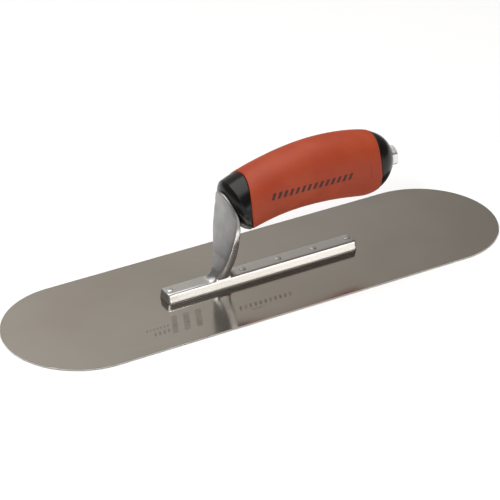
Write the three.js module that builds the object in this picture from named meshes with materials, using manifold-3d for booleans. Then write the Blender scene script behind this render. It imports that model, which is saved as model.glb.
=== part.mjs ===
// Pool finishing trowel. A thin steel blade with half-round ends is riveted to the rail of an aluminium
// casting. The casting's shank rises as a broad thumb rest and ends in a shield that the handle's collar
// wraps; a tang behind the shield goes into the handle, and one long hex bolt from the rear holds it on.
// X runs along the blade towards the rear of the handle, Z is up, and the origin is the middle of the
// blade's underside. Millimetres.
import * as THREE from 'three';
import { mergeVertices } from 'three/addons/utils/BufferGeometryUtils.js';
import Module from 'manifold-3d';

// Blade
const bladeLength = 355.6;
const bladeWidth = 101.6;
const bladeThickness = 0.8;

// Rail of the casting, with drafted sides
const railLength = 140.6;
const railCentreX = 0.6;
const railBaseWidth = 13;
const railTopWidth = 10.4;
const railHeight = 6.5;
const railEndDraft = 0.4;
const railCornerRadius = 1.6;

// Rivets
const rivetCount = 6;
const rivetRadius = 1.6;
const rivetHeadRadius = 2.4;
const rivetHeadHeight = 0.8;
const rivetSinkRadius = 2.6;
const rivetEndMargin = 4.3;
const blindRivetCover = 2;

// Shank: thumb rest above the rail, shield at the top. X places are along the blade.
const footFrontX = -34.2;
const footRearX = -23.4;
const footToe = 2.4;
const shankWaistFrontX = -27.6;
const shankWaistRearX = -22;
const shankWaistHeight = 29;
const shieldWidth = 29.5;
const shieldHeight = 40;
const shieldFrontX = -25.2;
const shieldThickness = 5.2;
const shieldBendHeight = 46;
const shieldTopHeight = 59.4;
const shieldLean = 0.3;
const tangRadius = 6;
const tangLength = 30;

// Handle: its centre line is an arc in the XZ plane, and its section is an upright oval
const handleArcRadius = 166;
const handleApexX = 38.6;
const handleApexHeight = 57.6;
const handleFrontLength = 63;
const handleRearLength = 58.6;
const handleHalfHeight = 22.3;
const handleFrontHalfHeight = 18.5;
const handleRearHalfHeight = 20.8;
const collarNoseHalfHeight = 12.2;
const collarNoseLength = 9;
const capLength = 15;
const capFlatRadius = 6;
const handleMiddleRatio = 0.86;
const handleFrontRatio = 1.08;
const gripWall = 3;

// Edges of the grip: places on the centre line, lean with height, and the sweep forward at the sides
const gripFrontX = -11;
const gripFrontLean = -0.1;
const gripFrontSweep = 5;
const gripRearX = 85.2;
const gripRearLean = -0.11;
const gripRearSweep = 4.5;

// Bolt and washer
const boltHeight = 52.8;
const boltRadius = 3.95;
const boltHeadFlats = 12.7;
const boltHeadLength = 5.3;
const boltGrip = 15;
const washerRadius = 7.5;
const washerThickness = 1.2;
const seatDepth = 1.6;

// Clearances between neighbours
const gap = 0.3;

// Derived sizes
const railBottom = bladeThickness;
const railTop = railBottom + railHeight;
const rivetPitch = (railLength - 2 * rivetEndMargin) / (rivetCount - 1);
const rivetStartX = railCentreX - railLength / 2 + rivetEndMargin;
const boltZ = railTop + boltHeight;
const handleApexZ = railTop + handleApexHeight;
const handleRearX = handleApexX + handleArcRadius * Math.sin(handleRearLength / handleArcRadius);
const seatX = handleRearX - seatDepth;
const boltHeadCorner = boltHeadFlats / Math.sqrt(3);
const seatRadius = Math.max(washerRadius, boltHeadCorner) + gap;
const shieldMiddleZ = railTop + shieldHeight;
const shieldBendZ = railTop + shieldBendHeight;
const shieldTopZ = railTop + shieldTopHeight;
const tangEndX = shieldFrontX + tangLength;
const boltHoleEndX = tangEndX - boltGrip - 8;

const wasm = await Module();
wasm.setup();

// A closed three.js geometry as a solid that can be joined and cut
function solid(geometry) {
  const bare = geometry.index ? geometry.toNonIndexed() : geometry.clone();
  bare.deleteAttribute('normal');
  bare.deleteAttribute('uv');
  const merged = mergeVertices(bare, 1e-4);
  const vertProperties = new Float32Array(merged.attributes.position.array);
  const triVerts = new Uint32Array(merged.index.array);
  return new wasm.Manifold(new wasm.Mesh({ numProp: 3, vertProperties, triVerts }));
}

// A finished solid as a geometry with flat-shaded faces
function geometryOf(manifold) {
  const mesh = manifold.getMesh();
  const geometry = new THREE.BufferGeometry();
  geometry.setAttribute('position', new THREE.BufferAttribute(new Float32Array(mesh.vertProperties), 3));
  geometry.setIndex(new THREE.BufferAttribute(new Uint32Array(mesh.triVerts), 1));
  const flat = geometry.toNonIndexed();
  flat.computeVertexNormals();
  return flat;
}

// Moves every corner of a geometry by a rule
function reshape(geometry, rule) {
  const corners = geometry.attributes.position;
  const corner = new THREE.Vector3();
  for (let i = 0; i < corners.count; i += 1) {
    corner.fromBufferAttribute(corners, i);
    rule(corner);
    corners.setXYZ(i, corner.x, corner.y, corner.z);
  }
  return geometry;
}

// A plain round bar from one X to another at a height
function barAlongX(radius, fromX, toX, z, sides = 32) {
  const geometry = new THREE.CylinderGeometry(radius, radius, toX - fromX, sides);
  geometry.rotateZ(-Math.PI / 2);
  geometry.translate((fromX + toX) / 2, 0, z);
  return geometry;
}

// An upright round piece, wider or narrower at its top
function uprightCone(bottomRadius, topRadius, fromZ, toZ, x) {
  const geometry = new THREE.CylinderGeometry(topRadius, bottomRadius, toZ - fromZ, 24);
  geometry.rotateX(Math.PI / 2);
  geometry.translate(x, 0, (fromZ + toZ) / 2);
  return geometry;
}

const trowel = new THREE.Group();
trowel.name = 'pool_trowel';

function add(name, geometry, material) {
  const mesh = new THREE.Mesh(geometry, material);
  mesh.name = name;
  trowel.add(mesh);
}

const bladeSteel = new THREE.MeshStandardMaterial({ color: 0x8b8378, roughness: 0.32, metalness: 1 });
const castAluminium = new THREE.MeshStandardMaterial({ color: 0xb4b4b2, roughness: 0.45, metalness: 1 });
const rivetSteel = new THREE.MeshStandardMaterial({ color: 0x9a9894, roughness: 0.4, metalness: 1 });
const blackPlastic = new THREE.MeshStandardMaterial({ color: 0x111214, roughness: 0.35, metalness: 0 });
const orangeRubber = new THREE.MeshStandardMaterial({ color: 0xb0432a, roughness: 0.7, metalness: 0 });
const platedSteel = new THREE.MeshStandardMaterial({ color: 0xb9b9bb, roughness: 0.3, metalness: 1 });

// Rivet places along the rail; one that comes under the shank's foot is blind
const rivets = [];
for (let i = 0; i < rivetCount; i += 1) {
  const x = rivetStartX + i * rivetPitch;
  const reach = rivetHeadRadius + gap;
  const blind = x + reach > footFrontX - footToe && x - reach < footRearX + footToe;
  const top = blind ? railTop - blindRivetCover : railTop;
  rivets.push({ name: `rivet_${i + 1}`, x, blind, top });
}

// Blade: a straight strip with half-round ends, countersunk from below for the rivets
function blade() {
  const endRadius = bladeWidth / 2;
  const endX = bladeLength / 2 - endRadius;
  const outline = new THREE.Shape();
  outline.absarc(endX, 0, endRadius, -Math.PI / 2, Math.PI / 2, false);
  outline.absarc(-endX, 0, endRadius, Math.PI / 2, Math.PI * 1.5, false);
  const options = { depth: bladeThickness, bevelEnabled: false, curveSegments: 48 };
  let body = solid(new THREE.ExtrudeGeometry(outline, options));
  for (const rivet of rivets) {
    const slope = (rivetSinkRadius - rivetRadius) / bladeThickness;
    const below = rivetSinkRadius + gap + slope;
    const above = rivetRadius + gap - slope;
    body = body.subtract(solid(uprightCone(below, above, -1, bladeThickness + 1, rivet.x)));
  }
  return geometryOf(body);
}

// Rivet: countersunk and ground flush below, snapped to a low dome above unless it is blind
function rivet({ x, blind, top }) {
  const profile = [
    new THREE.Vector2(0, 0),
    new THREE.Vector2(rivetSinkRadius, 0),
    new THREE.Vector2(rivetRadius, bladeThickness),
    new THREE.Vector2(rivetRadius, top),
  ];
  if (!blind) {
    profile.push(new THREE.Vector2(rivetHeadRadius, top));
    for (let step = 1; step < 5; step += 1) {
      const turn = (step / 5) * (Math.PI / 2);
      profile.push(new THREE.Vector2(
        rivetHeadRadius * Math.cos(turn),
        top + rivetHeadHeight * Math.sin(turn),
      ));
    }
    profile.push(new THREE.Vector2(0, top + rivetHeadHeight));
  } else {
    profile.push(new THREE.Vector2(0, top));
  }
  const geometry = new THREE.LatheGeometry(profile, 24);
  geometry.rotateX(Math.PI / 2);
  geometry.translate(x, 0, 0);
  return geometryOf(solid(geometry));
}

// Rail: a rounded bar whose sides and ends draw in towards the top
function rail() {
  const halfLength = railLength / 2;
  const halfWidth = railBaseWidth / 2;
  const r = railCornerRadius;
  const plan = new THREE.Shape();
  plan.absarc(halfLength - r, halfWidth - r, r, 0, Math.PI / 2, false);
  plan.absarc(r - halfLength, halfWidth - r, r, Math.PI / 2, Math.PI, false);
  plan.absarc(r - halfLength, r - halfWidth, r, Math.PI, Math.PI * 1.5, false);
  plan.absarc(halfLength - r, r - halfWidth, r, -Math.PI / 2, 0, false);
  const geometry = new THREE.ExtrudeGeometry(plan, {
    depth: railHeight, bevelEnabled: false, curveSegments: 6,
  });
  reshape(geometry, (corner) => {
    const rise = corner.z / railHeight;
    corner.x *= 1 - (rise * railEndDraft) / halfLength;
    corner.y *= 1 - rise * (1 - railTopWidth / railBaseWidth);
    corner.x += railCentreX;
    corner.z += railBottom;
  });
  return solid(geometry);
}

// Side outline of the shank: front edge from the toe up to the shield, and back down the rear edge.
// A clearance grows it, for the pocket that it leaves in the collar.
function shankSide(clearance) {
  const lean = shieldLean * (shieldTopZ - shieldBendZ);
  const waistZ = railTop + shankWaistHeight;
  const frontEdge = new THREE.SplineCurve([
    new THREE.Vector2(footFrontX - footToe, railTop),
    new THREE.Vector2(footFrontX, railTop + footToe),
    new THREE.Vector2((footFrontX + shankWaistFrontX) / 2 + 0.8, railTop + shankWaistHeight / 2),
    new THREE.Vector2(shankWaistFrontX, waistZ),
    new THREE.Vector2(shieldFrontX, shieldBendZ),
    new THREE.Vector2(shieldFrontX - lean * 0.4, (shieldBendZ + shieldTopZ) / 2),
    new THREE.Vector2(shieldFrontX - lean, shieldTopZ),
  ]);
  const rearEdge = new THREE.SplineCurve([
    new THREE.Vector2(shieldFrontX + shieldThickness - lean, shieldTopZ),
    new THREE.Vector2(shieldFrontX + shieldThickness, shieldBendZ),
    new THREE.Vector2(shankWaistRearX, waistZ),
    new THREE.Vector2(footRearX, railTop + footToe),
    new THREE.Vector2(footRearX + footToe, railTop),
  ]);
  const front = frontEdge.getPoints(28).map((point) => new THREE.Vector2(point.x - clearance, point.y));
  const rear = rearEdge.getPoints(24).map((point) => new THREE.Vector2(point.x + clearance, point.y));
  const outline = new THREE.Shape();
  outline.setFromPoints([
    new THREE.Vector2(footFrontX - footToe, railTop - 2),
    ...front,
    new THREE.Vector2(shieldFrontX - lean, shieldTopZ + 2),
    new THREE.Vector2(shieldFrontX + shieldThickness - lean, shieldTopZ + 2),
    ...rear,
    new THREE.Vector2(footRearX + footToe, railTop - 2),
  ]);
  const geometry = new THREE.ExtrudeGeometry(outline, { depth: shieldWidth * 2, bevelEnabled: false });
  geometry.rotateX(Math.PI / 2);
  geometry.translate(0, shieldWidth, 0);
  return solid(geometry);
}

// Front outline of the shank: narrow at the rail, full width at the shield, half an ellipse on top
function shankFront(clearance) {
  const footHalf = railTopWidth / 2 + clearance;
  const shieldHalf = shieldWidth / 2 + clearance;
  const topHeight = shieldTopZ + clearance - shieldMiddleZ;
  const steps = 16;
  const side = [new THREE.Vector2(footHalf, railTop - 2)];
  for (let i = 0; i <= steps; i += 1) {
    const rise = i / steps;
    const half = footHalf + (shieldHalf - footHalf) * Math.sin((rise * Math.PI) / 2);
    side.push(new THREE.Vector2(half, railTop + (shieldMiddleZ - railTop) * rise));
  }
  for (let i = 1; i < steps; i += 1) {
    const turn = ((i / steps) * Math.PI) / 2;
    side.push(new THREE.Vector2(shieldHalf * Math.cos(turn), shieldMiddleZ + topHeight * Math.sin(turn)));
  }
  const otherSide = side.map((point) => new THREE.Vector2(-point.x, point.y)).reverse();
  const outline = new THREE.Shape();
  outline.setFromPoints([...side, new THREE.Vector2(0, shieldMiddleZ + topHeight), ...otherSide]);
  const depth = 80;
  const geometry = new THREE.ExtrudeGeometry(outline, { depth, bevelEnabled: false });
  geometry.rotateX(Math.PI / 2);
  geometry.rotateZ(Math.PI / 2);
  geometry.translate(shieldFrontX - depth / 2, 0, 0);
  return solid(geometry);
}

function shank(clearance) {
  return shankSide(clearance).intersect(shankFront(clearance));
}

// Mounting: rail, shank and tang in one casting, drilled for the rivets and for the bolt
function mounting() {
  const tang = solid(barAlongX(tangRadius, shieldFrontX + shieldThickness / 2, tangEndX, boltZ));
  let body = rail().add(shank(0)).add(tang);
  body = body.subtract(solid(barAlongX(boltRadius + gap, boltHoleEndX, tangEndX + 1, boltZ)));
  for (const { x, blind, top } of rivets) {
    const holeTop = blind ? top + gap : top + 1;
    const hole = uprightCone(rivetRadius + gap, rivetRadius + gap, railBottom - 1, holeTop, x);
    body = body.subtract(solid(hole));
  }
  return geometryOf(body);
}

// Half-height of the handle's oval section along its centre line, from the collar's nose to the cap
function handleProfile(inset) {
  const front = -handleFrontLength;
  const rear = handleRearLength;
  const shape = new THREE.SplineCurve([
    new THREE.Vector2(collarNoseHalfHeight, front),
    new THREE.Vector2(handleFrontHalfHeight - 1.2, front + collarNoseLength * 0.5),
    new THREE.Vector2(handleFrontHalfHeight, front + collarNoseLength),
    new THREE.Vector2(handleHalfHeight - 2.1, front + 33),
    new THREE.Vector2(handleHalfHeight - 0.4, 0),
    new THREE.Vector2(handleHalfHeight, rear - 27),
    new THREE.Vector2(handleRearHalfHeight, rear - capLength),
    new THREE.Vector2(handleRearHalfHeight * 0.74, rear - capLength * 0.45),
    new THREE.Vector2(capFlatRadius, rear),
  ]);
  const points = shape.getPoints(32);
  const profile = [new THREE.Vector2(0, front)];
  for (const point of points) {
    profile.push(new THREE.Vector2(Math.max(point.x - inset, 1), point.y));
  }
  profile.push(new THREE.Vector2(0, rear));
  return profile;
}

// A turned shape made oval, wider at the front, and bent along the handle's arc
function handleBody(inset) {
  const geometry = new THREE.LatheGeometry(handleProfile(inset), 48);
  reshape(geometry, (corner) => {
    const along = corner.y;
    const front = Math.max(-along / handleFrontLength, 0);
    const ratio = handleMiddleRatio + (handleFrontRatio - handleMiddleRatio) * front * front;
    const side = corner.z * ratio;
    const up = corner.x;
    const turn = along / handleArcRadius;
    corner.x = handleApexX + (handleArcRadius + up) * Math.sin(turn);
    corner.y = side;
    corner.z = handleApexZ - handleArcRadius + (handleArcRadius + up) * Math.cos(turn);
  });
  return solid(geometry);
}

// Everything in front of (direction -1) or behind (direction 1) an edge of the grip
function gripEdge(edgeX, lean, sweep, direction) {
  const halfWidth = handleHalfHeight * 1.5;
  const rise = sweep * (halfWidth / (handleHalfHeight * handleMiddleRatio)) ** 2;
  const farX = edgeX + direction * 120;
  const outline = new THREE.Shape();
  outline.moveTo(edgeX - rise, -halfWidth);
  outline.quadraticCurveTo(edgeX + rise, 0, edgeX - rise, halfWidth);
  outline.lineTo(farX, halfWidth);
  outline.lineTo(farX, -halfWidth);
  const depth = handleHalfHeight * 4;
  const geometry = new THREE.ExtrudeGeometry(outline, { depth, bevelEnabled: false, curveSegments: 24 });
  reshape(geometry, (corner) => {
    corner.x += lean * (corner.z - depth / 2);
    corner.z += centreLineZ(edgeX) - depth / 2;
  });
  return solid(geometry);
}

// Height of the handle's centre line above an X
function centreLineZ(x) {
  return handleApexZ - handleArcRadius + Math.sqrt(handleArcRadius ** 2 - (x - handleApexX) ** 2);
}

// Core: collar and cap to the full section, thinner under the grip, bored for tang and bolt
function handleCore() {
  const ahead = gripEdge(gripFrontX - gap / 2, gripFrontLean, gripFrontSweep, -1);
  const behind = gripEdge(gripRearX + gap / 2, gripRearLean, gripRearSweep, 1);
  let body = handleBody(0).intersect(ahead.add(behind)).add(handleBody(gripWall));
  body = body.subtract(solid(barAlongX(boltRadius + gap, tangEndX, handleRearX + 10, boltZ)));
  const socketX = shieldFrontX + shieldThickness / 2;
  body = body.subtract(solid(barAlongX(tangRadius + gap, socketX, tangEndX + gap, boltZ)));
  body = body.subtract(solid(barAlongX(seatRadius, seatX, handleRearX + 20, boltZ, 48)));
  body = body.subtract(shank(gap));
  return geometryOf(body);
}

// Grip: the sleeve between its two edges, hollowed for the core
function grip() {
  const ahead = gripEdge(gripFrontX + gap / 2, gripFrontLean, gripFrontSweep, -1);
  const behind = gripEdge(gripRearX - gap / 2, gripRearLean, gripRearSweep, 1);
  const sleeve = handleBody(0).subtract(handleBody(gripWall - gap));
  return geometryOf(sleeve.subtract(ahead).subtract(behind));
}

// Bolt: round shank into the tang, hexagon head with turned-down corners against the washer
function handleBolt() {
  const headX = seatX + washerThickness;
  const head = new THREE.CylinderGeometry(boltHeadCorner, boltHeadCorner, boltHeadLength, 6);
  head.rotateZ(-Math.PI / 2);
  head.translate(headX + boltHeadLength / 2, 0, boltZ);
  const chamfer = new THREE.LatheGeometry([
    new THREE.Vector2(0, 0),
    new THREE.Vector2(boltHeadCorner + 1, 0),
    new THREE.Vector2(boltHeadCorner + 1, boltHeadLength - 1.6),
    new THREE.Vector2(boltHeadFlats / 2 - 0.6, boltHeadLength),
    new THREE.Vector2(0, boltHeadLength),
  ], 36);
  chamfer.rotateZ(-Math.PI / 2);
  chamfer.translate(headX, 0, boltZ);
  const stem = barAlongX(boltRadius, tangEndX - boltGrip, headX + 1, boltZ);
  return geometryOf(solid(head).intersect(solid(chamfer)).add(solid(stem)));
}

// Washer: a flat ring on the seat
function washer() {
  const inner = boltRadius + gap;
  const profile = [
    new THREE.Vector2(inner, 0),
    new THREE.Vector2(washerRadius, 0),
    new THREE.Vector2(washerRadius, washerThickness),
    new THREE.Vector2(inner, washerThickness),
    new THREE.Vector2(inner, 0),
  ];
  const geometry = new THREE.LatheGeometry(profile, 48);
  geometry.rotateZ(-Math.PI / 2);
  geometry.translate(seatX, 0, boltZ);
  return geometryOf(solid(geometry));
}

add('blade', blade(), bladeSteel);
add('mounting', mounting(), castAluminium);
for (const each of rivets) {
  add(each.name, rivet(each), rivetSteel);
}
add('handle_core', handleCore(), blackPlastic);
add('grip', grip(), orangeRubber);
add('handle_bolt', handleBolt(), platedSteel);
add('washer', washer(), platedSteel);

export default trowel;
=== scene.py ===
import math

import bmesh
import bpy
import numpy as np
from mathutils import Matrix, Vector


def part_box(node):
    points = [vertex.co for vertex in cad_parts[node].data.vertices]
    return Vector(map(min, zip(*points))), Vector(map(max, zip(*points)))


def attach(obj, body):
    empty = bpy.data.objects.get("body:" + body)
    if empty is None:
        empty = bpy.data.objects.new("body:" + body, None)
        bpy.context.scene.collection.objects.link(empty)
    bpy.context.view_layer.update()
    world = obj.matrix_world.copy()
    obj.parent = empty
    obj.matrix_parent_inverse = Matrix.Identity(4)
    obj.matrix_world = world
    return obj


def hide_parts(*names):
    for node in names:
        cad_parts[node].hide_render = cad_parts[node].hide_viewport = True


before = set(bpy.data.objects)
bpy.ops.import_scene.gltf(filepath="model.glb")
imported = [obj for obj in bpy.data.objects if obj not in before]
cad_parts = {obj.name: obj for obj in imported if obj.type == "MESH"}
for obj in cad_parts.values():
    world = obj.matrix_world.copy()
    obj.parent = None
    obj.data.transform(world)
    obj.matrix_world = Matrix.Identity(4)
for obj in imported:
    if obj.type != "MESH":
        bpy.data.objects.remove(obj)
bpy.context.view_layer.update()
mm = 0.001


# Studio. A pale table top, one wide soft box overhead, a long low one in front and a small one at the
# left. The air is brightest behind the tool and dims to the right and left, which shades the blade.
def add_material(name):
    material = bpy.data.materials.new(name)
    material.use_nodes = True
    nodes = material.node_tree.nodes
    return material, nodes, material.node_tree.links, nodes["Principled BSDF"]


def add_softbox(name, place, target, size, watts):
    lamp = bpy.data.lights.new(name, "AREA")
    lamp.shape = "RECTANGLE"
    lamp.size, lamp.size_y = size
    lamp.energy = watts
    holder = bpy.data.objects.new(name, lamp)
    bpy.context.scene.collection.objects.link(holder)
    holder.location = place
    aim = np.array(target) - np.array(place)
    holder.rotation_euler = (
        math.atan2(math.hypot(aim[0], aim[1]), -aim[2]), 0, math.atan2(aim[1], aim[0]) - math.pi / 2)


def add_mesh_object(name, points, faces):
    mesh = bpy.data.meshes.new(name)
    mesh.from_pydata([tuple(point) for point in points], [], [tuple(face) for face in faces])
    mesh.update()
    made = bpy.data.objects.new(name, mesh)
    bpy.context.scene.collection.objects.link(made)
    return made


def math_in(tree_nodes, tree_links, operation, first, second=None, third=None):
    node = tree_nodes.new("ShaderNodeMath")
    node.operation = operation
    for socket, value in zip(node.inputs, (first, second, third)):
        if value is None:
            continue
        if isinstance(value, (int, float)):
            socket.default_value = value
        else:
            tree_links.new(value, socket)
    return node.outputs[0]


def range_in(tree_nodes, tree_links, value, from_low, from_high, to_low, to_high, smooth=False):
    node = tree_nodes.new("ShaderNodeMapRange")
    node.interpolation_type = "SMOOTHSTEP" if smooth else "LINEAR"
    tree_links.new(value, node.inputs["Value"])
    limits = (from_low, from_high, to_low, to_high)
    for label, limit in zip(("From Min", "From Max", "To Min", "To Max"), limits):
        node.inputs[label].default_value = limit
    return node.outputs["Result"]


table_half = 6.0
table_drop = 0.4 * mm
corners = [(-table_half, -table_half, -table_drop), (table_half, -table_half, -table_drop),
           (table_half, table_half, -table_drop), (-table_half, table_half, -table_drop)]
table_top = add_mesh_object("table_top", corners, [(0, 1, 2, 3)])
table_material, nodes, links, shader = add_material("table_white")
shader.inputs["Base Color"].default_value = (0.97, 0.97, 0.97, 1)
shader.inputs["Roughness"].default_value = 0.9
shader.inputs["Specular IOR Level"].default_value = 0.1
table_top.data.materials.append(table_material)

world = bpy.data.worlds.new("studio_air")
bpy.context.scene.world = world
world.use_nodes = True
nodes, links = world.node_tree.nodes, world.node_tree.links
toward = nodes.new("ShaderNodeSeparateXYZ")
links.new(nodes.new("ShaderNodeTexCoord").outputs["Generated"], toward.inputs["Vector"])
behind = range_in(nodes, links, toward.outputs["Y"], -0.25, 0.45, 0.16, 1.0, smooth=True)
right_fall = range_in(nodes, links, toward.outputs["X"], 0.28, 0.62, 0.60, 0.20)
left_fall = range_in(nodes, links, toward.outputs["X"], -0.35, 0.22, 0.35, 1.0, smooth=True)
side_fall = math_in(nodes, links, "MULTIPLY", right_fall, left_fall)
warm_air = (1.0, 0.975, 0.93, 1)
nodes["Background"].inputs["Color"].default_value = warm_air
links.new(math_in(nodes, links, "MULTIPLY", behind, side_fall), nodes["Background"].inputs["Strength"])

add_softbox("overhead_box", place=(-0.2, 0.1, 2.2), target=(0, 0, 0), size=(2.4, 2.4), watts=55)
add_softbox("low_front_box", place=(0.9, -1.9, 0.26), target=(0, 0, 0.03), size=(2.6, 0.5), watts=8)
add_softbox("left_box", place=(-1.1, -0.9, 1.3), target=(0, 0, 0.03), size=(0.28, 0.28), watts=6)

camera_pitch = 29.79
camera_yaw = 30.18
camera_data = bpy.data.cameras.new("camera")
camera_data.sensor_width = 36
camera_data.lens = 154.4
camera = bpy.data.objects.new("camera", camera_data)
bpy.context.scene.collection.objects.link(camera)
camera.location = (-0.6044, -1.0274, 0.6999)
camera.rotation_euler = (math.radians(90 - camera_pitch), 0, math.radians(-camera_yaw))
bpy.context.scene.camera = camera
bpy.context.scene.view_settings.view_transform = "Standard"


# Blade. A strip of hardened spring steel with half-round ends. It is stamped, ground flat with a belt
# that runs lengthways, countersunk from below for the rivets, and etched with a mark on its upper face.
blade_low, blade_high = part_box("blade")
blade_top = blade_high[2]
blade_end_radius = (blade_high[1] - blade_low[1]) / 2
blade_edge_break = 0.14 * mm
rivet_names = [f"rivet_{number}" for number in range(1, 7)]
rivet_places = [(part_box(name)[0][0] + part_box(name)[1][0]) / 2 for name in rivet_names]
rivet_radius = 1.6 * mm
rivet_sink_radius = 2.6 * mm
rivet_fit = 0.03 * mm
end_steps = 120
rivet_hole_sides = 48


def finish_mesh(piece, material, crease_degrees=35):
    piece.data.materials.clear()
    piece.data.materials.append(material)
    piece.data.shade_smooth()
    piece.data.set_sharp_from_angle(angle=math.radians(crease_degrees))


def half_round_outline(inset):
    """Both half-round ends in one loop, drawn in by the inset; the straight sides join them."""
    straight = blade_high[0] - blade_end_radius
    turns = np.linspace(-math.pi / 2, math.pi / 2, end_steps + 1)
    radius = blade_end_radius - inset
    right = np.stack([straight + radius * np.cos(turns), radius * np.sin(turns)], axis=1)
    return np.concatenate([right, -right])


def blade_mesh():
    body = bmesh.new()

    def ring(outline, height):
        verts = [body.verts.new((x, y, height)) for x, y in outline]
        edges = [body.edges.new((verts[i], verts[(i + 1) % len(verts)])) for i in range(len(verts))]
        return verts, edges

    def wall(lower, upper):
        for i in range(len(lower)):
            j = (i + 1) % len(lower)
            body.faces.new((lower[i], lower[j], upper[j], upper[i]))

    levels = [(blade_edge_break, 0), (0, blade_edge_break),
              (0, blade_top - blade_edge_break), (blade_edge_break, blade_top)]
    rings = [ring(half_round_outline(inset), height) for inset, height in levels]
    for lower, upper in zip(rings, rings[1:]):
        wall(lower[0], upper[0])
    low_edges, high_edges = list(rings[0][1]), list(rings[-1][1])
    turns = np.linspace(0, 2 * math.pi, rivet_hole_sides, endpoint=False)
    circle = np.stack([np.cos(turns), np.sin(turns)], axis=1)
    for x in rivet_places:
        low = ring(circle * (rivet_sink_radius + rivet_fit) + (x, 0), 0)
        high = ring(circle * (rivet_radius + rivet_fit) + (x, 0), blade_top)
        wall(high[0], low[0])
        low_edges += low[1]
        high_edges += high[1]
    bmesh.ops.triangle_fill(body, edges=low_edges, use_beauty=True)
    bmesh.ops.triangle_fill(body, edges=high_edges, use_beauty=True)
    bmesh.ops.recalc_face_normals(body, faces=body.faces)
    mesh = bpy.data.meshes.new("steel_blade")
    body.to_mesh(mesh)
    body.free()
    return mesh


def add_group(name, inputs, outputs):
    group = bpy.data.node_groups.new(name, "ShaderNodeTree")
    for label, kind, value in inputs:
        socket = group.interface.new_socket(label, in_out="INPUT", socket_type=kind)
        if value is not None:
            socket.default_value = value
    for label, kind in outputs:
        group.interface.new_socket(label, in_out="OUTPUT", socket_type=kind)
    start = group.nodes.new("NodeGroupInput")
    end = group.nodes.new("NodeGroupOutput")
    return group, group.nodes, group.links, start, end


def noise_in(tree_nodes, tree_links, vector, detail):
    texture = tree_nodes.new("ShaderNodeTexNoise")
    texture.inputs["Scale"].default_value = 1.0
    texture.inputs["Detail"].default_value = detail
    texture.inputs["Roughness"].default_value = 0.55
    tree_links.new(vector, texture.inputs["Vector"])
    return texture.outputs["Fac"]


def mix_in(tree_nodes, tree_links, factor, first, second):
    node = tree_nodes.new("ShaderNodeMix")
    node.data_type = "RGBA"
    tree_links.new(factor, node.inputs["Factor"])
    for label, colour in (("A", first), ("B", second)):
        socket = [s for s in node.inputs if s.name == label and s.type == "RGBA"][0]
        if isinstance(colour, tuple):
            socket.default_value = (*colour, 1)
        else:
            tree_links.new(colour, socket)
    return [s for s in node.outputs if s.type == "RGBA"][0]


def mapped_in(tree_nodes, tree_links, vector, scale):
    node = tree_nodes.new("ShaderNodeMapping")
    node.inputs["Scale"].default_value = scale
    tree_links.new(vector, node.inputs["Vector"])
    return node.outputs["Vector"]


# Shader group: fine parallel lines and broader streaks along X, as a grinding belt leaves on steel
fine_stretch = (14, 2600, 2600)
streak_stretch = (4, 420, 420)
grind_lines, nodes, links, start, end = add_group(
    "grind_lines", [("Vector", "NodeSocketVector", None)],
    [("Lines", "NodeSocketFloat"), ("Streaks", "NodeSocketFloat")])
for label, stretch, detail in (("Lines", fine_stretch, 5.0), ("Streaks", streak_stretch, 3.0)):
    stretched = mapped_in(nodes, links, start.outputs["Vector"], stretch)
    links.new(noise_in(nodes, links, stretched, detail), end.inputs[label])

# Shader group: a broad patchiness, a fine grain and scattered specks
mottle, nodes, links, start, end = add_group(
    "mottle", [("Vector", "NodeSocketVector", None), ("Broad Scale", "NodeSocketFloat", 12.0),
               ("Fine Scale", "NodeSocketFloat", 900.0)],
    [("Broad", "NodeSocketFloat"), ("Fine", "NodeSocketFloat"), ("Specks", "NodeSocketFloat")])
for label, scale_label, detail in (("Broad", "Broad Scale", 3.0), ("Fine", "Fine Scale", 4.0)):
    texture = nodes.new("ShaderNodeTexNoise")
    texture.inputs["Detail"].default_value = detail
    links.new(start.outputs["Vector"], texture.inputs["Vector"])
    links.new(start.outputs[scale_label], texture.inputs["Scale"])
    links.new(texture.outputs["Fac"], end.inputs[label])
cells = nodes.new("ShaderNodeTexVoronoi")
cells.inputs["Randomness"].default_value = 1.0
links.new(start.outputs["Vector"], cells.inputs["Vector"])
links.new(start.outputs["Fine Scale"], cells.inputs["Scale"])
links.new(range_in(nodes, links, cells.outputs["Distance"], 0.05, 0.25, 1.0, 0.0), end.inputs["Specks"])


def place_group(tree_nodes, tree_links, group, vector, **values):
    node = tree_nodes.new("ShaderNodeGroup")
    node.node_tree = group
    tree_links.new(vector, node.inputs["Vector"])
    for label, value in values.items():
        node.inputs[label.replace("_", " ").title()].default_value = value
    return node.outputs


def add_bump(tree_nodes, tree_links, shader_node, height, strength, distance):
    node = tree_nodes.new("ShaderNodeBump")
    node.inputs["Strength"].default_value = strength
    node.inputs["Distance"].default_value = distance
    tree_links.new(height, node.inputs["Height"])
    tree_links.new(node.outputs["Normal"], shader_node.inputs["Normal"])


def object_coordinates(tree_nodes):
    return tree_nodes.new("ShaderNodeTexCoord").outputs["Object"]


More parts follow.
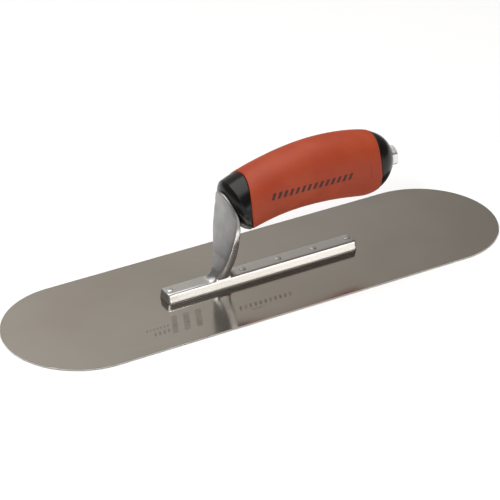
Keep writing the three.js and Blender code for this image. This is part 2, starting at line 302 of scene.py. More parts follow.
# Shader group: a row of slanted bars inside a band, for the faint etch here and the print on the grip
bar_row, nodes, links, start, end = add_group(
    "bar_row", [("Vector", "NodeSocketVector", None), ("Start", "NodeSocketFloat", 0.0),
                ("Stop", "NodeSocketFloat", 0.05), ("Middle", "NodeSocketFloat", 0.0),
                ("Half Height", "NodeSocketFloat", 0.003), ("Pitch", "NodeSocketFloat", 0.004),
                ("Slant", "NodeSocketFloat", -0.45), ("Bar Share", "NodeSocketFloat", 0.5)],
    [("Mask", "NodeSocketFloat")])
split = nodes.new("ShaderNodeSeparateXYZ")
links.new(start.outputs["Vector"], split.inputs["Vector"])
along, across = split.outputs["X"], split.outputs["Y"]
off_middle = math_in(nodes, links, "SUBTRACT", across, start.outputs["Middle"])
slanted = math_in(nodes, links, "MULTIPLY_ADD", off_middle, start.outputs["Slant"], along)
turned = math_in(nodes, links, "DIVIDE", slanted, start.outputs["Pitch"])
wave = math_in(nodes, links, "PINGPONG", turned, 0.5)
half_bar = math_in(nodes, links, "MULTIPLY", start.outputs["Bar Share"], 0.5)
bars = range_in(nodes, links, math_in(nodes, links, "SUBTRACT", wave, half_bar), -0.04, 0.02, 1.0, 0.0)
off_band = math_in(nodes, links, "ABSOLUTE", off_middle)
reach = math_in(nodes, links, "DIVIDE", off_band, start.outputs["Half Height"])
band = range_in(nodes, links, reach, 0.9, 1.0, 1.0, 0.0)
begun = math_in(nodes, links, "GREATER_THAN", slanted, start.outputs["Start"])
going = math_in(nodes, links, "LESS_THAN", slanted, start.outputs["Stop"])
row_part = math_in(nodes, links, "MULTIPLY", begun, going)
bars_in_band = math_in(nodes, links, "MULTIPLY", bars, band)
links.new(math_in(nodes, links, "MULTIPLY", bars_in_band, row_part), end.inputs["Mask"])

clean_steel = (0.62, 0.575, 0.52)
tarnished_steel = (0.56, 0.51, 0.45)
line_shadow = (0.48, 0.445, 0.40)
etched_steel = (0.27, 0.25, 0.225)
blade_steel, nodes, links, shader = add_material("ground_spring_steel")
place = object_coordinates(nodes)
ground = place_group(nodes, links, grind_lines, place)
patches = place_group(nodes, links, mottle, place, broad_scale=9.0, fine_scale=160.0)
tarnish = range_in(nodes, links, patches["Broad"], 0.35, 0.68, 0.0, 1.0, smooth=True)
tint = mix_in(nodes, links, tarnish, clean_steel, tarnished_steel)
line_share = range_in(nodes, links, ground["Lines"], 0.3, 0.7, 0.0, 0.25)
lined = mix_in(nodes, links, line_share, tint, line_shadow)

# Rows of the etch in millimetres: where each starts and stops in X, its middle and half height in Y,
# and the pitch of its marks
etched_rows = [(-97, -80, -27.5, 1.2, 2.4), (-94, -80, -33.0, 2.0, 3.1), (-79, -55, -28.5, 9.5, 8.6),
               (-34, 6, -32.5, 2.3, 3.6), (-27, -18, -37.3, 0.8, 1.8)]
etch = None
for row_start, row_stop, row_middle, half_row, mark_pitch in etched_rows:
    row = place_group(nodes, links, bar_row, place, start=row_start * mm, stop=row_stop * mm,
                      middle=row_middle * mm, half_height=half_row * mm, pitch=mark_pitch * mm)["Mask"]
    etch = row if etch is None else math_in(nodes, links, "MAXIMUM", etch, row)
bitten = range_in(nodes, links, patches["Fine"], 0.35, 0.6, 0.45, 0.75)
height = nodes.new("ShaderNodeSeparateXYZ")
links.new(place, height.inputs["Vector"])
etch_depth = 0.05 * mm
upper_face = math_in(nodes, links, "GREATER_THAN", height.outputs["Z"], blade_top - etch_depth)
etch = math_in(nodes, links, "MULTIPLY", math_in(nodes, links, "MULTIPLY", etch, bitten), upper_face)
links.new(mix_in(nodes, links, etch, lined, etched_steel), shader.inputs["Base Color"])
polish = range_in(nodes, links, ground["Streaks"], 0.3, 0.7, 0.09, 0.15)
links.new(math_in(nodes, links, "MULTIPLY_ADD", etch, 0.25, polish), shader.inputs["Roughness"])
shader.inputs["Metallic"].default_value = 1.0
add_bump(nodes, links, shader, ground["Lines"], 0.06, 0.02 * mm)

steel_blade = bpy.data.objects.new("steel_blade", blade_mesh())
bpy.context.scene.collection.objects.link(steel_blade)
finish_mesh(steel_blade, blade_steel)
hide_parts("blade")
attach(steel_blade, "root")


# Mounting. One aluminium casting: the rail, the shank that rises from it as a broad thumb rest, the
# shield at its top, and the tang behind. It comes from a steel die and is tumbled to a soft satin. Its
# rail's sides are linished smoother; their near-white colour, and that of a band on the shank's sides, is a
# painted highlight.
mount_low, mount_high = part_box("mounting")
rail_bottom = mount_low[2]
rail_height = 6.5 * mm
rail_top = rail_bottom + rail_height
rail_base_half = 6.45 * mm
rail_top_half = 5.2 * mm
shield_half = mount_high[1]
shield_middle = rail_top + 40 * mm
shield_top = mount_high[2] - 0.2 * mm
bolt_low, bolt_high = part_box("handle_bolt")
bolt_height = (bolt_low[2] + bolt_high[2]) / 2
tang_radius = 6 * mm
tang_start_x = -23.5 * mm
tang_end_x = 4.0 * mm

# The shank from the side, in millimetres: height above the rail, X of its front, X of its rear
shank_sides = np.array([
    (-3.0, -40.0, -20.6), (0.0, -38.6, -21.2), (1.2, -36.6, -22.2), (3.0, -34.5, -23.0),
    (5.5, -32.6, -23.2), (9.0, -31.1, -22.9), (14.0, -29.6, -22.4), (22.0, -28.3, -22.0),
    (30.0, -27.3, -21.9), (38.0, -26.0, -21.6), (46.0, -25.2, -22.4), (52.0, -26.4, -24.2),
    (59.4, -28.8, -26.6)]) * mm
shank_root = 3 * mm
shank_crown = 0.6 * mm
shank_square_heights = (0, 6 * mm, 20 * mm)
shank_squareness = (2.4, 3.6, 9.0)
shank_foot_share = 0.96
shank_swell = 1.05
thinnest_half = 0.6 * mm
rising_rings = 46
closing_rings = 30
shank_ring_points = 72
tang_ring_points = 48

rail_corner = 1.6 * mm
rail_end_draft = 0.4 * mm
# The rail's section: share of its height, and millimetres that its broken edge has drawn in there
rail_levels = [(0, 0), (0.9, 0), (0.97, 0.35), (1, 0.9)]
quarter_steps = 6


def shank_half_width(height):
    """From just inside the rail's top, swelling to the shield, then closing in a half oval."""
    foot = rail_top_half * shank_foot_share
    rise = np.clip((height - rail_top) / (shield_middle - rail_top), 0, 1)
    lower = foot + (shield_half - foot) * np.sin(rise * math.pi / 2) ** shank_swell
    over = np.clip((height - shield_middle) / (shield_top - shield_middle), 0, 1)
    return lower * np.sqrt(np.maximum(1 - over ** 2, 0))


def loft_faces(ring_count, ring_size):
    faces = []
    for ring in range(ring_count - 1):
        for i in range(ring_size):
            j = (i + 1) % ring_size
            here, above = ring * ring_size, (ring + 1) * ring_size
            faces.append((here + i, here + j, above + j, above + i))
    faces.append(tuple(reversed(range(ring_size))))
    faces.append(tuple(range((ring_count - 1) * ring_size, ring_count * ring_size)))
    return faces


def shank_volume():
    """Rings of a rounded rectangle, squarer the higher they stand, with a slight crown in front."""
    rising = np.linspace(rail_top - shank_root, shield_middle, rising_rings)
    quarter_turn = np.linspace(0.04, 1.53, closing_rings)
    closing = shield_middle + (shield_top - shield_middle) * np.sin(quarter_turn)
    turns = np.linspace(0, 2 * math.pi, shank_ring_points, endpoint=False)
    points = []
    for height in np.concatenate([rising, closing]):
        above = height - rail_top
        front = np.interp(above, shank_sides[:, 0], shank_sides[:, 1])
        rear = np.interp(above, shank_sides[:, 0], shank_sides[:, 2])
        half = max(shank_half_width(height), thinnest_half)
        squareness = np.interp(above, shank_square_heights, shank_squareness)
        across = np.sign(np.cos(turns)) * np.abs(np.cos(turns)) ** (2 / squareness)
        along = np.sign(np.sin(turns)) * np.abs(np.sin(turns)) ** (2 / squareness)
        crown = shank_crown * (half / shield_half) * across ** 2 * (1 - along) / 2
        x = (front + rear) / 2 + along * (rear - front) / 2 + crown
        points += [(px, -half * a, height) for px, a in zip(x, across)]
    return points, loft_faces(len(rising) + len(closing), len(turns))


def rail_volume():
    half_x = (mount_high[0] - mount_low[0]) / 2
    middle_x = (mount_high[0] + mount_low[0]) / 2
    points = []
    for rise, inset in rail_levels:
        half_width = rail_base_half + (rail_top_half - rail_base_half) * rise - inset * mm
        half_length = half_x - rail_end_draft * rise - inset * mm
        for quarter, (sign_x, sign_y) in enumerate([(1, 1), (-1, 1), (-1, -1), (1, -1)]):
            for turn in np.linspace(0, math.pi / 2, quarter_steps) + quarter * math.pi / 2:
                x = middle_x + sign_x * (half_length - rail_corner) + rail_corner * math.cos(turn)
                y = sign_y * (half_width - rail_corner) + rail_corner * math.sin(turn)
                points.append((x, y, rail_bottom + rise * rail_height))
    return points, loft_faces(len(rail_levels), 4 * quarter_steps)


def tang_volume():
    turns = np.linspace(0, 2 * math.pi, tang_ring_points, endpoint=False)
    points = []
    for x in (tang_start_x, tang_end_x):
        points += [(x, tang_radius * math.cos(t), bolt_height + tang_radius * math.sin(t)) for t in turns]
    return points, loft_faces(2, len(turns))


def turn_faces_outward(piece):
    body = bmesh.new()
    body.from_mesh(piece.data)
    bmesh.ops.recalc_face_normals(body, faces=body.faces)
    body.to_mesh(piece.data)
    body.free()


def joined_volumes(name, volumes):
    points, faces = [], []
    for part_points, part_faces in volumes:
        start_at = len(points)
        points += part_points
        faces += [tuple(start_at + i for i in face) for face in part_faces]
    made = add_mesh_object(name, points, faces)
    turn_faces_outward(made)
    return made


def evaluated_copy(piece, name):
    """The piece with its modifiers applied, as a plain mesh object; the source goes."""
    graph = bpy.context.evaluated_depsgraph_get()
    mesh = bpy.data.meshes.new_from_object(piece.evaluated_get(graph))
    bpy.data.objects.remove(piece)
    mesh.name = name
    plain = bpy.data.objects.new(name, mesh)
    bpy.context.scene.collection.objects.link(plain)
    return plain


def soften(piece, rounds, weight):
    """Averages each corner with its neighbours, by its weight, so a joint gets its cast fillet."""
    mesh = piece.data
    count = len(mesh.vertices)
    places = np.empty(count * 3)
    mesh.vertices.foreach_get("co", places)
    places = places.reshape(-1, 3)
    ends = np.empty(len(mesh.edges) * 2, dtype=int)
    mesh.edges.foreach_get("vertices", ends)
    first, second = ends.reshape(-1, 2).T
    neighbours = np.bincount(first, minlength=count) + np.bincount(second, minlength=count)
    share = weight(places)[:, None]
    for _ in range(rounds):
        total = np.empty_like(places)
        for axis in range(3):
            total[:, axis] = (np.bincount(first, places[second, axis], count)
                              + np.bincount(second, places[first, axis], count))
        places += share * (total / neighbours[:, None] - places)
    mesh.vertices.foreach_set("co", places.ravel())
    mesh.update()


even_weight = 0.5
foot_middle_x = -28.5 * mm
foot_half_length = 9 * mm
foot_half_width = 4.6 * mm
foot_middle_height = rail_top + 0.6 * mm
foot_fade_height = 4.4 * mm
foot_fade_length = 3 * mm
foot_fade_width = 0.5 * mm


def even_weights(places):
    return np.full(len(places), even_weight)


def foot_weights(places):
    """Strongest in the corner between the shank and the rail, nothing a few millimetres away."""
    height = np.abs(places[:, 2] - foot_middle_height) / foot_fade_height
    beyond = np.maximum(np.abs(places[:, 0] - foot_middle_x) - foot_half_length, 0) / foot_fade_length
    beside = np.maximum(np.abs(places[:, 1]) - foot_half_width, 0) / foot_fade_width
    return even_weight * np.clip(1 - np.sqrt(height ** 2 + beyond ** 2 + beside ** 2), 0, 1)


# Side faces linished and painted bright: height in millimetres, and share of finish and painted highlight
linished_and_highlight_heights = (7.3, 8.3, 26, 31, 44, 47)
linished_and_highlight_shares = (1, 0.2, 0.2, 0.95, 0.95, 0)
rail_top_share = 0.6
# A face counts as a side, or as the top, once its normal turns this far; it is sure by the second value
side_facing = (0.72, 0.88)
top_facing = (0.8, 0.95)


def mark_linished_and_highlight_faces(piece):
    """Stores each point's share of linished finish and painted highlight: sides by the table above, the
    rail's top evenly.
    """
    mesh = piece.data
    count = len(mesh.vertices)
    places, normals = np.empty(count * 3), np.empty(count * 3)
    mesh.vertices.foreach_get("co", places)
    mesh.vertices.foreach_get("normal", normals)
    places, normals = places.reshape(-1, 3), normals.reshape(-1, 3)
    sides = np.interp(np.abs(normals[:, 1]), side_facing, (0, 1))
    sides *= np.interp(places[:, 2], np.array(linished_and_highlight_heights) * mm, linished_and_highlight_shares)
    on_rail = places[:, 2] < rail_top + 0.4 * mm
    top = np.interp(normals[:, 2], top_facing, (0, 1)) * on_rail * rail_top_share
    layer = mesh.attributes.new("linished_and_highlight", "FLOAT", "POINT")
    layer.data.foreach_set("value", np.maximum(sides, top).astype(np.float32))


casting_voxel = 0.4 * mm
even_rounds = 7
foot_rounds = 110
rough_casting = joined_volumes("rough_casting", [rail_volume(), shank_volume(), tang_volume()])
melt = rough_casting.modifiers.new("melt", "REMESH")
melt.mode = "VOXEL"
melt.voxel_size = casting_voxel
casting = evaluated_copy(rough_casting, "casting")
soften(casting, even_rounds, even_weights)
soften(casting, foot_rounds, foot_weights)
mark_linished_and_highlight_faces(casting)

bright_skin = (0.40, 0.40, 0.395)
dull_skin = (0.31, 0.305, 0.30)
pit_shadow = (0.20, 0.195, 0.19)
linished_and_highlight_bright = (0.90, 0.875, 0.84)
cast_aluminium, nodes, links, shader = add_material("tumbled_cast_aluminium")
place = object_coordinates(nodes)
skin = place_group(nodes, links, mottle, place, broad_scale=60.0, fine_scale=1500.0)
linished = place_group(nodes, links, grind_lines, place)
linished_and_highlight = nodes.new("ShaderNodeAttribute")
linished_and_highlight.attribute_name = "linished_and_highlight"
dulled = range_in(nodes, links, skin["Broad"], 0.3, 0.7, 0.0, 1.0, smooth=True)
skin_tone = mix_in(nodes, links, dulled, bright_skin, dull_skin)
pits = math_in(nodes, links, "MULTIPLY", skin["Specks"], 0.35)
pitted = mix_in(nodes, links, pits, skin_tone, pit_shadow)
# The marked faces get a near-white colour, a painted highlight for the light they reflect; only their lower
# roughness is the linished finish
links.new(mix_in(nodes, links, linished_and_highlight.outputs["Fac"], pitted, linished_and_highlight_bright),
          shader.inputs["Base Color"])
satin = range_in(nodes, links, skin["Fine"], 0.3, 0.7, 0.36, 0.50)
dressed_roughness = range_in(nodes, links, linished["Lines"], 0.3, 0.7, 0.18, 0.30)
blend_roughness = nodes.new("ShaderNodeMix")
links.new(linished_and_highlight.outputs["Fac"], blend_roughness.inputs["Factor"])
links.new(satin, blend_roughness.inputs["A"])
links.new(dressed_roughness, blend_roughness.inputs["B"])
links.new(blend_roughness.outputs["Result"], shader.inputs["Roughness"])
shader.inputs["Metallic"].default_value = 1.0
skin_relief = math_in(nodes, links, "ADD", skin["Fine"], skin["Broad"])
add_bump(nodes, links, shader, skin_relief, 0.14, 0.04 * mm)
finish_mesh(casting, cast_aluminium, 60)
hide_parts("mounting")
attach(casting, "root")


# Rivets. Six steel rivets pulled through the blade and the rail; each is ground flush below and headed
# to a low dome above, except the blind one under the shank's foot.
rivet_head_radius = 2.3 * mm
rivet_head_height = 0.7 * mm
rivet_head_rim = 0.15 * mm
blind_end = rail_top - 2 * mm
rivet_sides = 32


def turned_mesh(name, profile, sides):
    """A closed shape turned about Z from (radius, height) pairs that start and end on the axis."""
    points = [(0, 0, profile[0][1])]
    turns = np.linspace(0, 2 * math.pi, sides, endpoint=False)
    for radius, height in profile[1:-1]:
        points += [(radius * math.cos(t), radius * math.sin(t), height) for t in turns]
    points.append((0, 0, profile[-1][1]))
    last = len(points) - 1
    rings = len(profile) - 2
    faces = [(0, 1 + (i + 1) % sides, 1 + i) for i in range(sides)]
    for ring in range(rings - 1):
        for i in range(sides):
            j = (i + 1) % sides
            low, high = 1 + ring * sides, 1 + (ring + 1) * sides
            faces.append((low + i, low + j, high + j, high + i))
    faces += [(last, last - sides + i, last - sides + (i + 1) % sides) for i in range(sides)]
    return add_mesh_object(name, points, faces)


stem_points = [(0, 0), (rivet_sink_radius, 0), (rivet_radius, blade_top)]
head_points = [(rivet_radius, rail_top), (rivet_head_radius, rail_top)]
for turn in np.linspace(0, 1.45, 8):
    head_points.append((rivet_head_radius * math.cos(turn),
                        rail_top + rivet_head_rim + (rivet_head_height - rivet_head_rim) * math.sin(turn)))
head_points.append((0, rail_top + rivet_head_height))
blind_points = [(rivet_radius, blind_end), (0, blind_end)]
headed_rivet = turned_mesh("headed_rivet", stem_points + head_points, rivet_sides)
blind_rivet = turned_mesh("blind_rivet", stem_points + blind_points, rivet_sides)


def rivet_row_tree(headed, blind):
    """Evenly pitched rivets on a line along X; the one whose number is Blind gets the short pattern."""
    tree = bpy.data.node_groups.new("rivet_row", "GeometryNodeTree")
    tree.interface.new_socket("Geometry", in_out="OUTPUT", socket_type="NodeSocketGeometry")
    for label, kind in (("Count", "NodeSocketInt"), ("Start X", "NodeSocketFloat"),
                        ("Pitch", "NodeSocketFloat"), ("Blind", "NodeSocketInt"),
                        ("Finish", "NodeSocketMaterial")):
        tree.interface.new_socket(label, in_out="INPUT", socket_type=kind)
    start, end = tree.nodes.new("NodeGroupInput"), tree.nodes.new("NodeGroupOutput")
    line = tree.nodes.new("GeometryNodeMeshLine")
    first, step = tree.nodes.new("ShaderNodeCombineXYZ"), tree.nodes.new("ShaderNodeCombineXYZ")
    number = tree.nodes.new("GeometryNodeInputIndex")
    everything = tree.nodes.new("GeometryNodeJoinGeometry")
    for pattern, operation in ((headed, "NOT_EQUAL"), (blind, "EQUAL")):
        chosen = tree.nodes.new("FunctionNodeCompare")
        chosen.data_type = "INT"
        chosen.operation = operation
        a_input, b_input = [socket for socket in chosen.inputs if socket.type == "INT"]
        tree.links.new(number.outputs["Index"], a_input)
        tree.links.new(start.outputs["Blind"], b_input)
        source = tree.nodes.new("GeometryNodeObjectInfo")
        source.inputs["Object"].default_value = pattern
        copies = tree.nodes.new("GeometryNodeInstanceOnPoints")
        tree.links.new(line.outputs["Mesh"], copies.inputs["Points"])
        tree.links.new(chosen.outputs["Result"], copies.inputs["Selection"])
        tree.links.new(source.outputs["Geometry"], copies.inputs["Instance"])
        tree.links.new(copies.outputs["Instances"], everything.inputs["Geometry"])
    real = tree.nodes.new("GeometryNodeRealizeInstances")
    paint = tree.nodes.new("GeometryNodeSetMaterial")
    tree.links.new(start.outputs["Start X"], first.inputs["X"])
    tree.links.new(start.outputs["Pitch"], step.inputs["X"])
    tree.links.new(start.outputs["Count"], line.inputs["Count"])
    tree.links.new(first.outputs["Vector"], line.inputs["Start Location"])
    tree.links.new(step.outputs["Vector"], line.inputs["Offset"])
    tree.links.new(everything.outputs["Geometry"], real.inputs["Geometry"])
    tree.links.new(real.outputs["Geometry"], paint.inputs["Geometry"])
    tree.links.new(start.outputs["Finish"], paint.inputs["Material"])
    tree.links.new(paint.outputs["Geometry"], end.inputs["Geometry"])
    return tree


def set_inputs(modifier, **values):
    """Sets a Geometry Nodes modifier's inputs by their names, through each socket's identifier."""
    wanted = {label.replace("_", " ").lower(): value for label, value in values.items()}
    for item in modifier.node_group.interface.items_tree:
        if item.item_type == "SOCKET" and item.in_out == "INPUT" and item.name.lower() in wanted:
            modifier[item.identifier] = wanted[item.name.lower()]


dark_rivet = (0.50, 0.49, 0.475)
bright_rivet = (0.72, 0.715, 0.70)
rivet_steel, nodes, links, shader = add_material("headed_rivet_steel")
place = object_coordinates(nodes)
hammered = place_group(nodes, links, mottle, place, broad_scale=400.0, fine_scale=2400.0)
links.new(mix_in(nodes, links, hammered["Broad"], dark_rivet, bright_rivet), shader.inputs["Base Color"])
links.new(range_in(nodes, links, hammered["Fine"], 0.3, 0.7, 0.28, 0.45), shader.inputs["Roughness"])
shader.inputs["Metallic"].default_value = 1.0
add_bump(nodes, links, shader, hammered["Broad"], 0.3, 0.05 * mm)

rivet_holder = add_mesh_object("rivet_holder", [(0, 0, 0)], [])
row = rivet_holder.modifiers.new("row", "NODES")
row.node_group = rivet_row_tree(headed_rivet, blind_rivet)
rivet_pitch = (rivet_places[-1] - rivet_places[0]) / (len(rivet_places) - 1)
blind_number = 1
set_inputs(row, count=len(rivet_places), start_x=rivet_places[0], pitch=rivet_pitch,
           blind=blind_number, finish=rivet_steel)
rivet_row = evaluated_copy(rivet_holder, "rivet_row")
bpy.data.objects.remove(headed_rivet)
bpy.data.objects.remove(blind_rivet)
finish_mesh(rivet_row, rivet_steel, 40)
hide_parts(*rivet_names)
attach(rivet_row, "root")


# Handle core. Hard black plastic in one moulding: the collar at the nose, the spine under the grip and
# the end cap. It bows over the bar, is deeper than it is wide, and has a flat seat for the washer.
handle_arc_radius = 166 * mm
handle_apex_x = 38.6 * mm
handle_apex_height = 64.9 * mm
handle_front = -63 * mm
handle_rear = 58.6 * mm
# Half height of the handle's skin at each distance along its bowed middle line, in millimetres
handle_stations = np.array([
    (12.2, -63), (17.3, -58.5), (18.5, -54), (20.2, -30), (21.9, 0), (22.3, 31.6), (20.9, 43.6),
    (16.5, 51.85), (8.2, 58.6)]) * mm
nose_half = handle_stations[0, 0]
tail_half = handle_stations[-1, 0]
waist_share = 0.86
nose_share = 0.22
grip_front_x = -11 * mm
grip_front_sweep = 5 * mm
grip_front_leans = (-0.1, -0.1)
grip_rear_x = 85.2 * mm
grip_rear_sweep = 4.5 * mm
grip_rear_leans = (-0.11, 0.05)
grip_half_width = 19.178 * mm
skin_inset = 0.08 * mm
grip_wall = 3 * mm
core_inset = 0.3 * mm
core_fit = 0.1 * mm
joint_gap = 0.15 * mm
nose_round = 3 * mm
shoulder_round = 0.5 * mm
tail_round_length = 2.2 * mm
tail_round_depth = 3 * mm
seat_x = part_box("washer")[0][0]
seat_radius = 7.8 * mm
seat_length = 20 * mm
around_steps = 144
curve_steps = 400
collar_rings = 34
spine_rings = 60
cap_rings = 40


def spline_through(stations, steps):
    """Points on the uniform Catmull-Rom curve through the stations, its end points repeated."""
    padded = np.concatenate([stations[:1], stations, stations[-1:]])
    points = []
    for place in np.linspace(0, len(stations) - 1, steps):
        at = min(int(place), len(stations) - 2)
        t = place - at
        a, b, c, d = padded[at:at + 4]
        points.append(0.5 * (2 * b + (c - a) * t + (2 * a - 5 * b + 4 * c - d) * t ** 2
                             + (3 * b - a - 3 * c + d) * t ** 3))
    return np.array(points)


handle_curve = spline_through(handle_stations, curve_steps)


def handle_point(along, turn, depth):
    """A point at a distance along the bowed middle line, a turn around it and a depth below the skin."""
    half = np.interp(along, handle_curve[:, 1], handle_curve[:, 0])
    front = np.maximum(along / handle_front, 0)
    reach = np.maximum(half - skin_inset - depth, 0.2 * mm)
    side = reach * np.cos(turn) * (waist_share + nose_share * front ** 2)
    radius = handle_arc_radius + reach * np.sin(turn)
    bow = along / handle_arc_radius
    x = handle_apex_x + radius * np.sin(bow)
    height = handle_apex_height - handle_arc_radius + radius * np.cos(bow)
    return np.stack([x, side + 0 * x, height], axis=-1)


def grip_edge(turn, edge_x, sweep, leans):
    """How far along the handle the grip's swept edge, leaning above and below, crosses each turn."""
    off_apex = edge_x - handle_apex_x
    bow_drop = handle_arc_radius - math.sqrt(handle_arc_radius ** 2 - off_apex ** 2)
    middle_height = handle_apex_height - bow_drop
    low = np.full(len(turn), handle_front)
    high = np.full(len(turn), handle_rear)
    for _ in range(40):
        middle = (low + high) / 2
        place = handle_point(middle, turn, 0)
        off_middle = place[:, 2] - middle_height
        lean = np.where(off_middle > 0, leans[0], leans[1])
        edge = edge_x - sweep * (place[:, 1] / grip_half_width) ** 2 + lean * off_middle
        low = np.where(place[:, 0] < edge, middle, low)
        high = np.where(place[:, 0] < edge, high, middle)
    return (low + high) / 2


around = np.linspace(0, 2 * math.pi, around_steps, endpoint=False)
front_edge = grip_edge(around, grip_front_x, grip_front_sweep, grip_front_leans)
rear_edge = grip_edge(around, grip_rear_x, grip_rear_sweep, grip_rear_leans)


def skinned(rings, closed_on_itself):
    """Quads between neighbouring rings; the ends are closed by a point, or joined to each other."""
    points = [tuple(point) for ring in rings for point in ring]
    size = len(rings[0])
    faces = []
    pairs = list(zip(range(len(rings) - 1), range(1, len(rings))))
    if closed_on_itself:
        pairs.append((len(rings) - 1, 0))
    for here, there in pairs:
        for i in range(size):
            j = (i + 1) % size
            faces.append((here * size + i, there * size + i, there * size + j, here * size + j))
    if not closed_on_itself:
        for ring, flip in ((0, False), (len(rings) - 1, True)):
            points.append(tuple(np.mean(rings[ring], axis=0)))
            for i in range(size):
                j = (i + 1) % size
                face = (len(points) - 1, ring * size + i, ring * size + j)
                faces.append(face[::-1] if flip else face)
    return points, faces


def rounded_lip(depth, radius, steps=5):
    """Depth and set-back pairs around a rounded lip, from the end face to the skin."""
    return [(depth + radius * (1 - math.sin(a)), radius * (1 - math.cos(a)))
            for a in np.linspace(0, math.pi / 2, steps)]


def core_rings():
    """From the nose to the tail: collar, shoulder, spine under the grip, shoulder, end cap."""
    nose = np.full(around_steps, handle_front)
    tail = np.full(around_steps, handle_rear)
    rings = [handle_point(nose, around, nose_half * (1 - share)) for share in (0.3, 0.65)]
    for depth, back in rounded_lip(core_inset, nose_round):
        rings.append(handle_point(nose + back, around, depth))
    collar_start = handle_front + nose_round
    collar_end = front_edge - joint_gap
    for share in np.linspace(0.06, 0.98, collar_rings):
        here = collar_start + (collar_end - shoulder_round - handle_front - nose_round) * share
        rings.append(handle_point(here, around, core_inset))
    for depth, back in reversed(rounded_lip(core_inset, shoulder_round)):
        rings.append(handle_point(collar_end - back, around, depth))
    under = grip_wall + core_fit
    rings.append(handle_point(collar_end, around, under))
    cap_start = rear_edge + joint_gap
    for share in np.linspace(0.03, 0.97, spine_rings):
        rings.append(handle_point(collar_end + (cap_start - collar_end) * share, around, under))
    rings.append(handle_point(cap_start, around, under))
    for depth, back in rounded_lip(core_inset, shoulder_round):
        rings.append(handle_point(cap_start + back, around, depth))
    cap_end = handle_rear - tail_round_length
    for share in np.linspace(0.03, 1, cap_rings):
        here = cap_start + shoulder_round + (cap_end - cap_start - shoulder_round) * share
        rings.append(handle_point(here, around, core_inset))
    for turn in np.linspace(0.12, math.pi / 2, 10):
        here = np.full(around_steps, cap_end + tail_round_length * math.sin(turn))
        depth = core_inset + tail_round_depth * (1 - math.cos(turn))
        rings.append(handle_point(here, around, depth))
    for share in (0.7, 0.4):
        depth = tail_half * (1 - share) + tail_round_depth * share
        rings.append(handle_point(tail, around, depth))
    return rings


handle_core = add_mesh_object("rough_handle_core", *skinned(core_rings(), False))
seat_turns = np.linspace(0, 2 * math.pi, 64, endpoint=False)
seat_rings = [[(x, seat_radius * math.cos(t), bolt_height + seat_radius * math.sin(t))
               for t in seat_turns] for x in (seat_x, seat_x + seat_length)]
seat_cutter = add_mesh_object("seat_cutter", *skinned(seat_rings, False))
turn_faces_outward(handle_core)
turn_faces_outward(seat_cutter)
seat = handle_core.modifiers.new("seat", "BOOLEAN")
seat.operation = "DIFFERENCE"
seat.solver = "EXACT"
seat.object = seat_cutter
handle_core = evaluated_copy(handle_core, "moulded_core")
bpy.data.objects.remove(seat_cutter)

deep_black = (0.0045, 0.004, 0.004)
dusty_black = (0.008, 0.007, 0.007)
black_plastic, nodes, links, shader = add_material("hard_black_plastic")
place = object_coordinates(nodes)
moulded = place_group(nodes, links, mottle, place, broad_scale=45.0, fine_scale=1900.0)
dusty = range_in(nodes, links, moulded["Broad"], 0.35, 0.7, 0.0, 1.0, smooth=True)
links.new(mix_in(nodes, links, dusty, deep_black, dusty_black), shader.inputs["Base Color"])
sheen = range_in(nodes, links, moulded["Broad"], 0.3, 0.7, 0.18, 0.27)
links.new(math_in(nodes, links, "MULTIPLY_ADD", moulded["Specks"], 0.06, sheen), shader.inputs["Roughness"])
shader.inputs["IOR"].default_value = 1.34
add_bump(nodes, links, shader, moulded["Fine"], 0.08, 0.05 * mm)
finish_mesh(handle_core, black_plastic, 40)
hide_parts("handle_core")
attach(handle_core, "root")


# Grip. A soft orange rubber sleeve moulded over the core, a hair proud of it, with rounded lips and a
# fine spark texture. A maker's line is printed small and dark along the near side.
lip_radius = 0.7 * mm
lip_steps = 6
skin_rings = 120
bore_rings = 40


def grip_rings():
    """Out over the front lip, back along the skin, in over the rear lip, and home along the bore."""
    rings = [handle_point(front_edge, around, grip_wall)]
    for depth, back in rounded_lip(0, lip_radius, lip_steps):
        rings.append(handle_point(front_edge + back, around, depth))
    for share in np.linspace(0.012, 0.988, skin_rings):
        here = front_edge + lip_radius + (rear_edge - front_edge - 2 * lip_radius) * share
        rings.append(handle_point(here, around, 0))
    for depth, back in reversed(rounded_lip(0, lip_radius, lip_steps)):
        rings.append(handle_point(rear_edge - back, around, depth))
    rings.append(handle_point(rear_edge, around, grip_wall))
    for share in np.linspace(0.98, 0.02, bore_rings):
        rings.append(handle_point(front_edge + (rear_edge - front_edge) * share, around, grip_wall))
    return rings


grip_sleeve = add_mesh_object("grip_sleeve", *skinned(grip_rings(), True))
turn_faces_outward(grip_sleeve)

clean_orange = (0.365, 0.043, 0.011)
worn_orange = (0.415, 0.061, 0.018)
grain_shadow = (0.27, 0.030, 0.008)
print_ink = (0.028, 0.012, 0.008)
code_shadow = (0.12, 0.018, 0.010)
orange_rubber, nodes, links, shader = add_material("soft_orange_rubber")
place = object_coordinates(nodes)
sparked = place_group(nodes, links, mottle, place, broad_scale=38.0, fine_scale=1500.0)
worn = range_in(nodes, links, sparked["Broad"], 0.35, 0.68, 0.0, 1.0, smooth=True)
rubber = mix_in(nodes, links, worn, clean_orange, worn_orange)
grain = math_in(nodes, links, "MULTIPLY", sparked["Specks"], 0.3)
grained = mix_in(nodes, links, grain, rubber, grain_shadow)
swap = nodes.new("ShaderNodeSeparateXYZ")
links.new(place, swap.inputs["Vector"])
upright = nodes.new("ShaderNodeCombineXYZ")
links.new(swap.outputs["X"], upright.inputs["X"])
links.new(swap.outputs["Z"], upright.inputs["Y"])
near_side = math_in(nodes, links, "LESS_THAN", swap.outputs["Y"], -10 * mm)
print_row = place_group(nodes, links, bar_row, upright.outputs["Vector"], start=-3 * mm, stop=59 * mm,
                        middle=64.6 * mm, half_height=2.2 * mm, pitch=4.3 * mm, slant=-0.45,
                        bar_share=0.52)["Mask"]
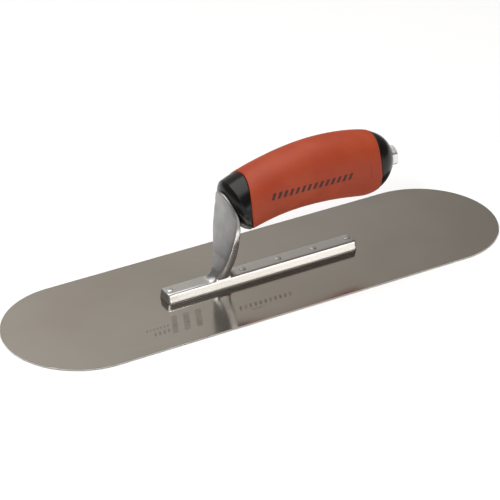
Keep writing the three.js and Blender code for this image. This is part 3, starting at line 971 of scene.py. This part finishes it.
printed = math_in(nodes, links, "MULTIPLY", math_in(nodes, links, "MULTIPLY", print_row, near_side), 0.92)
lettered = mix_in(nodes, links, printed, grained, print_ink)
sideways = nodes.new("ShaderNodeCombineXYZ")
links.new(swap.outputs["Z"], sideways.inputs["X"])
links.new(swap.outputs["X"], sideways.inputs["Y"])
code_row = place_group(nodes, links, bar_row, sideways.outputs["Vector"], start=58.5 * mm,
                       stop=68.5 * mm, middle=71.8 * mm, half_height=0.75 * mm, pitch=1.7 * mm, slant=0.0,
                       bar_share=0.5)["Mask"]
coded = math_in(nodes, links, "MULTIPLY", math_in(nodes, links, "MULTIPLY", code_row, near_side), 0.45)
links.new(mix_in(nodes, links, coded, lettered, code_shadow), shader.inputs["Base Color"])
links.new(range_in(nodes, links, sparked["Fine"], 0.3, 0.7, 0.50, 0.66), shader.inputs["Roughness"])
shader.inputs["IOR"].default_value = 1.42
add_bump(nodes, links, shader, sparked["Fine"], 0.22, 0.08 * mm)
finish_mesh(grip_sleeve, orange_rubber, 50)
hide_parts("grip")
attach(grip_sleeve, "root")


# Washer. A stamped plated steel ring let into the end cap, with its edges broken.
washer_low, washer_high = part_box("washer")
washer_radius = washer_high[1]
washer_bore = 4.2 * mm
washer_break = 0.2 * mm
washer_sides = 96
washer_turns = np.linspace(0, 2 * math.pi, washer_sides, endpoint=False)
washer_section = [
    (washer_low[0], washer_bore), (washer_low[0], washer_radius - washer_break),
    (washer_low[0] + washer_break, washer_radius), (washer_high[0] - washer_break, washer_radius),
    (washer_high[0], washer_radius - washer_break), (washer_high[0], washer_bore)]
washer_rings = [[(x, r * math.cos(t), bolt_height + r * math.sin(t)) for t in washer_turns]
                for x, r in washer_section]
flat_washer = add_mesh_object("flat_washer", *skinned(washer_rings, True))
turn_faces_outward(flat_washer)

grey_plating = (0.74, 0.73, 0.72)
bright_plating = (0.86, 0.85, 0.84)
plated_steel, nodes, links, shader = add_material("zinc_plated_steel")
place = object_coordinates(nodes)
plated = place_group(nodes, links, mottle, place, broad_scale=220.0, fine_scale=2600.0)
links.new(mix_in(nodes, links, plated["Broad"], grey_plating, bright_plating), shader.inputs["Base Color"])
links.new(range_in(nodes, links, plated["Fine"], 0.3, 0.7, 0.22, 0.38), shader.inputs["Roughness"])
shader.inputs["Metallic"].default_value = 1.0
add_bump(nodes, links, shader, plated["Broad"], 0.15, 0.04 * mm)
finish_mesh(flat_washer, plated_steel, 30)
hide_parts("washer")
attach(flat_washer, "root")


# Handle bolt. A plated hex-headed steel bolt, cold-headed and chamfered, that runs in from the end cap
# and pulls the handle onto the tang.
hex_half_flats = 6.35 * mm
head_start = washer_high[0]
head_end = bolt_high[0]
stem_radius = 3.9 * mm
chamfer_radius = 6.0 * mm
chamfer_slope = 1.6
corner_round = 0.25 * mm
bolt_sides = 144


def bolt_rings():
    """The stem from its point to the head, then the hexagon, cut by the chamfer's cone at its end."""
    turns = np.linspace(0, 2 * math.pi, bolt_sides, endpoint=False)
    flat_turn = np.mod(turns + math.pi / 6, math.pi / 3) - math.pi / 6
    rounding = corner_round * (np.abs(flat_turn) / (math.pi / 6)) ** 8
    hexagon = hex_half_flats / np.cos(flat_turn) - rounding

    def ring(x, radius):
        return np.stack([np.full(len(turns), x), radius * np.cos(turns),
                         bolt_height + radius * np.sin(turns)], axis=1)

    rings = [ring(bolt_low[0] + 0.1 * mm, np.full(len(turns), stem_radius - 0.6 * mm)),
             ring(bolt_low[0] + 0.7 * mm, np.full(len(turns), stem_radius)),
             ring(head_start, np.full(len(turns), stem_radius))]
    rings.append(ring(head_start, hexagon - 0.3 * mm))
    rings.append(ring(head_start + 0.2 * mm, hexagon))
    for x in np.linspace(head_end - 1.5 * mm, head_end - 0.12 * mm, 12):
        cone = chamfer_radius + (head_end - x) * chamfer_slope
        rings.append(ring(x, np.minimum(hexagon, cone)))
    rings.append(ring(head_end, np.full(len(turns), chamfer_radius - 0.3 * mm)))
    rings.append(ring(head_end, np.full(len(turns), 2.5 * mm)))
    return rings


hex_bolt = add_mesh_object("hex_bolt", *skinned(bolt_rings(), False))
turn_faces_outward(hex_bolt)
finish_mesh(hex_bolt, plated_steel, 25)
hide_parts("handle_bolt")
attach(hex_bolt, "root")
